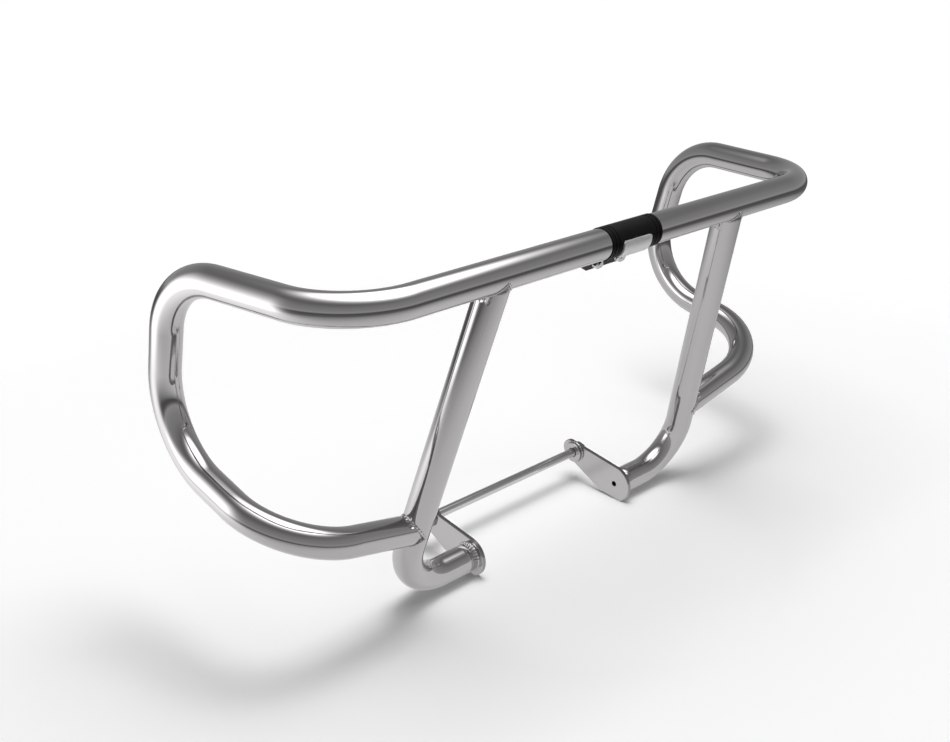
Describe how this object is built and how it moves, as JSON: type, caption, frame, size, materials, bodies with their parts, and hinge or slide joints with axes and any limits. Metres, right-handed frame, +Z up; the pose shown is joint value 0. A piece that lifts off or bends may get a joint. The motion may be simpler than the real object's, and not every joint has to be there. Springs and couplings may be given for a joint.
{
  "type": "motorcycle crash bars",
  "caption": "Bent steel tube crash bars with swept side loops, leaning struts, foot plates joined by a through stud, and a clamp for a single down tube.",
  "frame": {"origin": "middle of the down tube clamp, on the down tube's axis, behind and below the middle of the top bar", "axes": "+X along the top bar to the rider's left, +Y to the rear of the motorcycle, +Z up"},
  "size_m": [0.8, 0.2859, 0.3973],
  "materials": {
    "polished_steel": "polished stainless steel with a fine lengthwise grain",
    "satin_steel": "satin stainless steel",
    "weld_steel": "rippled weld bead, brushed",
    "plated_steel": "bright zinc plate",
    "dark_steel": "dark passivated steel",
    "black_paint": "satin black powder coat",
    "black_sleeve": "satin black plastic",
    "badge_metal": "satin pale metal",
    "black_rubber": "matt black rubber"
  },
  "bodies": {
    "root": {"main_bar": "polished_steel", "strut_left": "polished_steel", "strut_right": "polished_steel", "plate_left": "satin_steel", "plate_right": "satin_steel", "boss_left": "satin_steel", "boss_right": "satin_steel", "through_stud": "plated_steel", "stud_nut_left": "dark_steel", "stud_nut_right": "dark_steel", "weld_bar_strut_left": "weld_steel", "weld_bar_strut_right": "weld_steel", "weld_loop_strut_left": "weld_steel", "weld_loop_strut_right": "weld_steel", "weld_strut_plate_left": "weld_steel", "weld_strut_plate_right": "weld_steel", "weld_boss_left": "weld_steel", "weld_boss_right": "weld_steel", "sleeve": "black_sleeve", "badge": "badge_metal", "clamp_plate": "black_paint", "weld_clamp_plate": "black_paint", "clamp_u_bolt": "plated_steel", "clamp_washers": "plated_steel", "clamp_nuts": "plated_steel", "clamp_liner": "black_rubber"}
  },
  "joints": []
}
